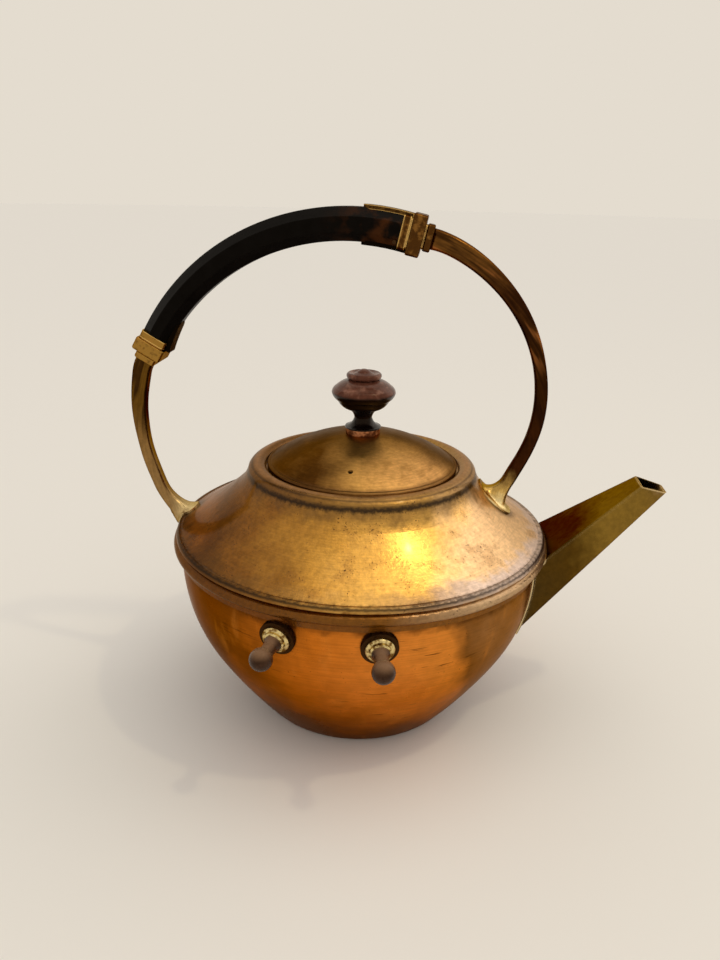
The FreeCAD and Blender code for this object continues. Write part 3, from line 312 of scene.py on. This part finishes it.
# Darker towards the back.
back_start, back_end = -0.024, 0.002
back = lid_brass.rise(lid_brass.waver(lid_brass.y, broad, 0.01), back_start, back_end, 0, 0.92)
tint = lid_brass.over(back, tint, colour(50, 28, 12))
tint = lid_brass.over(lid_brass.rise(middle, 0.5, 0.7, 0, 0.35), tint, colour(120, 82, 36))
dome_edge, wire_edge = 0.0430, 0.0450
edge = lid_brass.rise(lid_brass.radius, dome_edge, wire_edge, 0, 0.7)
tint = lid_brass.over(edge, tint, colour(92, 62, 34))
# Painted shadow of the knob round its collar.
knob_shadow_outer_radius, collar_edge = 0.014, 0.009
painted_knob_shadow = lid_brass.rise(lid_brass.waver(lid_brass.radius, middle, 0.003), knob_shadow_outer_radius,
                      collar_edge, 0, 0.35)
tint = lid_brass.over(painted_knob_shadow, tint, colour(98, 62, 34))
rubbing = lid_brass.streaks(0.0006, 0.01)
tint = lid_brass.grained(lid_brass.grained(tint, fine, 0.12), rubbing, 0.12)
waviness = lid_brass.cloud(0.018, 1)
lid_brass.finish(tint, lid_brass.spread(broad, 0.28, 0.42),
                 [(waviness, 0.0003), (fine, 0.0001), (rubbing, 0.00003), (speck, 0.00003)])
lid_brass.dress("lid_dome", "lid_rim", "lid_skirt")


# Knob: turned hardwood on a copper collar, stained dark brown and polished by hands, and
# nearly black below its belly with painted shade. A screw from below holds both to the lid.
collar_copper = Finish("collar_copper")
fine = collar_copper.cloud(0.004, 4)
tint = collar_copper.over(collar_copper.rise(fine, 0.4, 0.6), colour(110, 66, 40),
                          colour(206, 140, 96))
collar_copper.finish(tint, collar_copper.spread(fine, 0.25, 0.4), [(fine, 0.00008)])
collar_copper.dress("knob_collar")
knob_wood = Finish("knob_wood", metal=0.0)
grain = knob_wood.cloud(0.0022, 4, stretch=(1, 1, 0.2))
worn = knob_wood.cloud(0.006, 3)
tint = knob_wood.over(grain, colour(56, 28, 20), colour(112, 66, 50))
tint = knob_wood.over(knob_wood.rise(worn, 0.5, 0.7, 0, 0.5), tint, colour(170, 122, 100))
# Painted shade: nearly black below the belly.
belly_height, black_height = 0.1626, 0.1610
black = knob_wood.rise(knob_wood.waver(knob_wood.z, worn, 0.0006), belly_height, black_height,
                       0, 0.98)
tint = knob_wood.over(black, tint, colour(5, 2, 2))
knob_wood.surface.inputs["Specular IOR Level"].default_value = 0.5
knob_wood.finish(tint, knob_wood.spread(worn, 0.16, 0.28), [(grain, 0.00005)])
knob_wood.dress("knob")


# Spout and its flange: folded from four flat faces of brass, mitred to the round body and
# soldered. A dull olive gold, brown towards the body, lighter towards the mouth with a painted
# reflection, and light along its folds with a painted highlight.
spout_brass = Finish("spout_brass", edge=(170, 150, 120))
broad, fine = spout_brass.cloud(0.016, 4), spout_brass.cloud(0.0025, 5)
drawn = spout_brass.cloud(0.0015, 3, stretch=(0.3, 1, 0.3))
# Colours along the spout: brown towards the body, lighter towards the mouth with a painted
# reflection.
tint = spout_brass.shades(spout_brass.waver(spout_brass.x, broad, 0.02),
                          (0.08, colour(70, 52, 22)), (0.1, colour(82, 58, 16)),
                          (0.122, colour(136, 106, 42)), (0.142, colour(124, 96, 42)),
                          (0.149, colour(156, 126, 92)))
# A painted highlight along the folded edges.
tint = spout_brass.over(spout_brass.edges(0.0014), tint, colour(236, 210, 160), most=0.9)
tint = spout_brass.grained(tint, fine, 0.12)
waviness = spout_brass.cloud(0.02, 1)
spout_brass.finish(tint, spout_brass.spread(broad, 0.2, 0.32),
                   [(waviness, 0.0003), (drawn, 0.00004), (fine, 0.00006)])
spout_brass.dress("spout", "spout_flange")


# Pegs: the kettle hung in its stand by four turned brown pegs, each on a stepped brass ring
# over a dark washer, with a stud through the wall and a nut inside.
peg_wood = Finish("peg_wood", metal=0.0)
grain = peg_wood.cloud(0.002, 4)
tint = peg_wood.over(grain, colour(32, 18, 11), colour(78, 52, 36))
# Painted highlight: lighter on the upward faces of each peg.
facing = peg_wood.node("SeparateXYZ", {0: peg_wood.node("NewGeometry").outputs["Normal"]})
painted_top_highlight = peg_wood.rise(facing.outputs["Z"], 0.2, 1.0, 0, 0.6)
tint = peg_wood.over(painted_top_highlight, tint, colour(158, 120, 88))
peg_wood.surface.inputs["Specular IOR Level"].default_value = 0.35
peg_wood.finish(tint, peg_wood.spread(grain, 0.22, 0.36), [(grain, 0.00006)])
peg_brass = Finish("peg_brass")
fine = peg_brass.cloud(0.0018, 4)
tint = peg_brass.over(peg_brass.rise(fine, 0.4, 0.65), colour(226, 204, 144),
                      colour(122, 90, 44))
peg_brass.finish(tint, peg_brass.spread(fine, 0.2, 0.36), [(fine, 0.00006)])
washer_dark = Finish("washer_dark")
fine = washer_dark.cloud(0.0015, 4)
tint = washer_dark.over(fine, colour(44, 30, 18), colour(84, 58, 34))
washer_dark.finish(tint, washer_dark.spread(fine, 0.45, 0.65), [(fine, 0.0001)])
for corner in ("near_rear", "near_front", "far_front", "far_rear"):
    peg_wood.dress(f"peg_{corner}")
    peg_brass.dress(f"peg_ring_{corner}")
    washer_dark.dress(f"peg_washer_{corner}")
peg_brass.dress("peg_studs", "peg_nuts", "knob_screw", "knob_washer", "knob_nut")


# Bow: two brass arms that flare like trumpets where they are soldered to the shoulder.
# Their colours follow the light: a painted highlight on the flared feet, and dark and orange
# streaks along the arms that are painted reflections.
arm_brass = Finish("arm_brass", edge=(170, 150, 120))
broad, fine = arm_brass.cloud(0.014, 4), arm_brass.cloud(0.0024, 5)
# Colours up the arm: a painted highlight on the flared foot, dark brown above it, lighter towards
# the ferrule.
tint = arm_brass.shades(arm_brass.waver(arm_brass.z, broad, 0.012),
                        (0.110, colour(242, 218, 160)), (0.116, colour(204, 166, 92)),
                        (0.127, colour(56, 27, 9)), (0.18, colour(50, 27, 7)),
                        (0.21, colour(70, 40, 16)), (0.23, colour(104, 68, 28)))
rear_start, rear_end = -0.08, -0.1
rear_tint = arm_brass.shades(arm_brass.waver(arm_brass.z, broad, 0.012),
                             (0.1, colour(150, 118, 74)), (0.13, colour(140, 106, 60)),
                             (0.15, colour(98, 68, 22)))
tint = arm_brass.over(arm_brass.rise(arm_brass.x, rear_start, rear_end), tint, rear_tint)
# Streaks along the bow for painted reflections: dark ones low on the arms, orange ones higher up.
painted_reflection_streaks = arm_brass.bow_streaks(0.0035, 0.03)
dark_bottom, dark_top, orange_reflection_bottom, orange_reflection_top = 0.125, 0.15, 0.17, 0.19
dark = arm_brass.maths("MULTIPLY", arm_brass.rise(painted_reflection_streaks, 0.56, 0.44),
                       arm_brass.rise(arm_brass.z, dark_bottom, dark_top))
tint = arm_brass.over(dark, tint, colour(38, 18, 8), most=0.75)
painted_orange_reflection = arm_brass.maths("MULTIPLY", arm_brass.rise(painted_reflection_streaks, 0.56, 0.68),
                       arm_brass.rise(arm_brass.z, orange_reflection_bottom, orange_reflection_top))
tint = arm_brass.over(painted_orange_reflection, tint, colour(150, 92, 46), most=0.8)
drawn = arm_brass.bow_streaks(0.0007, 0.012)
tint = arm_brass.grained(arm_brass.grained(tint, fine, 0.1), drawn, 0.12)
waviness = arm_brass.cloud(0.015, 1)
arm_brass.finish(tint, arm_brass.spread(broad, 0.2, 0.32),
                 [(waviness, 0.0003), (fine, 0.00006), (drawn, 0.00003)])


def turned_ring(place, move, turn, growth, depth_growth, pull):
    """One more ring of a foot: pushed out, moved, turned and widened, and pulled this much
    towards the shoulder when the foot is pressed onto it."""
    bpy.ops.mesh.extrude_region_move(TRANSFORM_OT_translate={"value": move})
    bpy.ops.transform.rotate(value=turn, orient_axis="Y", center_override=place)
    bpy.ops.transform.resize(value=(growth, depth_growth, growth), center_override=place)
    roundness = 0.06
    bpy.ops.transform.tosphere(value=roundness * math.sqrt(pull))
    bpy.context.scene.tool_settings.vertex_group_weight = pull
    bpy.ops.object.vertex_group_assign()


def press_onto_shoulder(gap):
    """Move the points of the active group to this gap above the shoulder."""
    bpy.ops.object.mode_set(mode="OBJECT")
    bpy.ops.object.modifier_add(type="SHRINKWRAP")
    press = bpy.context.object.modifiers[-1]
    press.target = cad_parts["shoulder"]
    press.wrap_mode, press.offset = "ABOVE_SURFACE", gap
    press.vertex_group = bpy.context.object.vertex_groups.active.name
    bpy.ops.object.modifier_apply(modifier=press.name)
    bpy.ops.object.mode_set(mode="EDIT")


arm_thickness, arm_depth = 0.0061, 0.0065
foot_rings, straight_share, knee_share = 16, 0.25, 0.5
merge_distance, press_gap, lip_gap = 0.00001, 0.0009, 0.00005


def flared_arm(node, cut, along, rim, facing, length, depth):
    """An arm down to the cut, and from there a foot that opens onto the shoulder like a
    trumpet, to a rim of this length and depth whose middle and facing are given."""
    bpy.ops.object.select_all(action="DESELECT")
    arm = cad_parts[node].copy()
    arm.data = arm.data.copy()
    bpy.context.scene.collection.objects.link(arm)
    arm.parent, arm.name = None, node + "_bow"
    bpy.context.view_layer.objects.active = arm
    arm.select_set(True)
    bpy.ops.object.mode_set(mode="EDIT")
    bpy.ops.mesh.select_all(action="SELECT")
    bpy.ops.mesh.remove_doubles(threshold=merge_distance)
    bpy.ops.mesh.bisect(plane_co=cut, plane_no=along, clear_outer=True)
    bpy.ops.object.vertex_group_add()
    cut, along, rim, facing = Vector(cut), Vector(along), Vector(rim), Vector(facing)
    knee = cut + along * (cut - rim).length * knee_share
    whole_turn = math.atan2(facing.z, facing.x) - math.atan2(-along.z, -along.x)
    last_place, last_share, last_growth, last_depth_growth = cut, 0.0, 1.0, 1.0
    for ring in range(1, foot_rings + 1):
        share = math.sin(math.pi / 2 * ring / foot_rings)
        place = (cut * (1 - share) ** 2 + knee * 2 * share * (1 - share) + rim * share ** 2)
        open_share = max(0.0, (share - straight_share) / (1 - straight_share))
        opened = 1 - math.sqrt(max(0.0, 1 - open_share ** 2))
        growth = 1 + (length / arm_thickness - 1) * opened
        depth_growth = 1 + (depth / arm_depth - 1) * opened
        turned_ring(place, place - last_place, whole_turn * (share - last_share),
                    growth / last_growth, depth_growth / last_depth_growth, opened)
        last_place, last_share = place, share
        last_growth, last_depth_growth = growth, depth_growth
    press_onto_shoulder(press_gap)
    bpy.ops.mesh.vertices_smooth(factor=0.5, repeat=3)
    bpy.ops.object.vertex_group_add()
    turned_ring(rim, (0, 0, 0), 0, 1.0, 1.0, 1.0)
    press_onto_shoulder(lip_gap)
    bpy.ops.mesh.edge_face_add()
    bpy.ops.mesh.select_all(action="SELECT")
    bpy.ops.mesh.normals_make_consistent(inside=False)
    bpy.ops.object.mode_set(mode="OBJECT")
    bpy.ops.object.shade_smooth_by_angle(angle=math.radians(35))
    arm.data.materials.clear()
    arm.data.materials.append(arm_brass.material)
    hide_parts(node)
    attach(arm, "kettle")


flared_arm("arm_front", cut=(0.0723, 0, 0.123), along=(-0.42, 0, -0.907),
           rim=(0.0655, 0, 0.1124), facing=(0.666, 0, 0.746), length=0.0235, depth=0.0145)
flared_arm("arm_rear", cut=(-0.1034, 0, 0.110), along=(0.33, 0, -0.944),
           rim=(-0.0925, 0, 0.0950), facing=(-0.72, 0, 0.694), length=0.0195, depth=0.0145)


# Ferrules and straps: cast brass sockets that join the arms to the grip, with bent brass
# strips let into the wood and a pin through the front tang. Dark, with lighter edges and
# streaks, partly rubbed bright and partly painted highlights, and the lower strap painted
# nearly black as shade under the grip.
ferrule_brass = Finish("ferrule_brass", edge=(170, 150, 120))
broad, fine = ferrule_brass.cloud(0.008, 4), ferrule_brass.cloud(0.0018, 5)
tint = ferrule_brass.shades(ferrule_brass.waver(ferrule_brass.x, broad, 0.02),
                            (-0.09, colour(160, 120, 54)), (0.0, colour(78, 48, 18)))
tint = ferrule_brass.over(ferrule_brass.rise(fine, 0.5, 0.66, 0, 0.5), tint, colour(66, 42, 18))
# Lighter streaks, partly rubbed wear and partly painted glints.
worn = ferrule_brass.cloud(0.0035, 3, stretch=(1, 0.3, 1))
tint = ferrule_brass.over(ferrule_brass.rise(worn, 0.5, 0.66, 0, 0.45), tint,
                          colour(170, 120, 56))
# Edges lighter, partly rubbed bright and partly a painted highlight.
tint = ferrule_brass.over(ferrule_brass.edges(0.0012), tint, colour(232, 190, 112), most=0.85)
ferrule_brass.finish(tint, ferrule_brass.spread(broad, 0.22, 0.34),
                     [(fine, 0.00008), (worn, 0.00008)])
ferrule_brass.dress("ferrule_front", "ferrule_rear")
washer_dark.dress("grip_pin")
strap_brass = Finish("strap_brass", edge=(170, 150, 120))
fine = strap_brass.cloud(0.0022, 4)
tint = strap_brass.over(strap_brass.rise(fine, 0.4, 0.66), colour(50, 30, 11),
                        colour(98, 68, 28))
# Edges lighter, partly rubbed bright and partly a painted highlight.
tint = strap_brass.over(strap_brass.edges(0.001), tint, colour(222, 180, 104), most=0.8)
# Painted shade: the lower strap, under the grip, nearly black.
upper_strap_height, lower_strap_height = 0.238, 0.234
under = strap_brass.rise(strap_brass.z, upper_strap_height, lower_strap_height)
tint = strap_brass.over(under, tint, colour(16, 10, 5))
strap_brass.finish(tint, strap_brass.spread(fine, 0.22, 0.4), [(fine, 0.00012)])
strap_brass.dress("strap_front_upper", "strap_front_lower", "strap_rear_inner")


# Grip: an eight-sided bar of hardwood bent to the bow and stained black, worn down to brown
# by the front ferrule.
black_wood = Finish("grip_black_wood", metal=0.0)
grain = black_wood.cloud(0.0016, 5, stretch=(0.35, 1, 0.35))
worn = black_wood.cloud(0.009, 4)
tint = black_wood.over(grain, colour(3, 3, 2), colour(16, 14, 13))
brown_start, brown_end = -0.022, 0.012
brown = black_wood.maths("MULTIPLY", black_wood.rise(worn, 0.4, 0.6),
                         black_wood.rise(black_wood.x, brown_start, brown_end))
tint = black_wood.over(brown, tint, colour(64, 34, 14))
black_wood.surface.inputs["Specular IOR Level"].default_value = 0.12
black_wood.finish(tint, black_wood.spread(worn, 0.35, 0.5), [(grain, 0.00005)])
black_wood.dress("grip")


# Studio: a plain pale floor that reaches far out, a pale surround, two large soft lights, one
# from above and one like a window beside the spout, and a small lamp for the bright point on
# the shoulder.
floor_radius = 8
bpy.ops.mesh.primitive_circle_add(vertices=96, radius=floor_radius, fill_type="NGON",
                                  location=(0, 0, 0))
floor = bpy.context.object
floor.name = "floor"
paper = bpy.data.materials.new("floor_paper")
paper.use_nodes = True
sheet = paper.node_tree.nodes["Principled BSDF"].inputs
sheet["Base Color"].default_value = colour(243, 239, 232)
sheet["Roughness"].default_value = 0.9
sheet["Specular IOR Level"].default_value = 0.0
floor.data.materials.append(paper)

world = bpy.data.worlds.new("surround")
bpy.context.scene.world = world
world.use_nodes = True
air = world.node_tree
air.nodes.clear()
light_path = air.nodes.new("ShaderNodeLightPath")


def either(first, second):
    """One where either of two kinds of ray arrives."""
    kinds = air.nodes.new("ShaderNodeMath")
    kinds.operation = "MAXIMUM"
    air.links.new(first, kinds.inputs[0])
    air.links.new(second, kinds.inputs[1])
    return kinds.outputs[0]


def surround(tint, strength):
    """The surround in one colour at this strength."""
    background = air.nodes.new("ShaderNodeBackground")
    background.inputs["Color"].default_value = tint
    background.inputs["Strength"].default_value = strength
    return background.outputs[0]


mirrored = either(light_path.outputs["Is Glossy Ray"], light_path.outputs["Is Transmission Ray"])
mixed = air.nodes.new("ShaderNodeMixShader")
air.links.new(either(light_path.outputs["Is Camera Ray"], mirrored), mixed.inputs[0])
air.links.new(surround(colour(240, 236, 230), 0.75), mixed.inputs[1])
air.links.new(surround(colour(228, 220, 207), 1.0), mixed.inputs[2])
ending = air.nodes.new("ShaderNodeOutputWorld")
air.links.new(mixed.outputs[0], ending.inputs[0])


def aimed_light(name, kind, place, aim):
    """A light of this kind at a place, looking at a point."""
    light = bpy.data.lights.new(name, kind)
    piece = bpy.data.objects.new(name, light)
    bpy.context.scene.collection.objects.link(piece)
    piece.location = place
    piece.rotation_euler = (Vector(aim) - Vector(place)).to_track_quat("-Z", "Y").to_euler()
    return light


ceiling = aimed_light("ceiling_light", "SUN", place=(0.225, -0.049, 1.078),
                      aim=(0.022, -0.078, 0.100))
ceiling.energy, ceiling.angle = 0.42, math.radians(54)
ceiling.color = colour(255, 250, 240)[:3]
window = aimed_light("window_light", "SUN", place=(0.80, 0.36, 0.67),
                     aim=(0.05, -0.04, 0.113))
window.energy, window.angle = 0.33, math.radians(48)
window.color = colour(255, 246, 240)[:3]
bulb = aimed_light("small_lamp", "AREA", place=(0.45, -0.19, 1.01),
                   aim=(0.0264, -0.061, 0.110))
bulb.shape, bulb.size, bulb.energy = "DISK", 0.05, 0.8
bulb.color = colour(255, 240, 200)[:3]


# Camera: from the front and above, a little towards the spout, and close, so that the mouth
# of the spout looks large. It keeps the photograph's frame.
view = bpy.data.cameras.new("photo_camera")
view.lens, view.sensor_width, view.sensor_fit = 30, 36, "VERTICAL"
view.sensor_height = 36
camera = bpy.data.objects.new("photo_camera", view)
bpy.context.scene.collection.objects.link(camera)
camera.location = (0.03566, -0.37032, 0.25555)
camera.rotation_euler = [math.radians(turn) for turn in (69.531, -1.217, 6.085)]
bpy.context.scene.camera = camera
bpy.context.scene.view_settings.view_transform = "Standard"
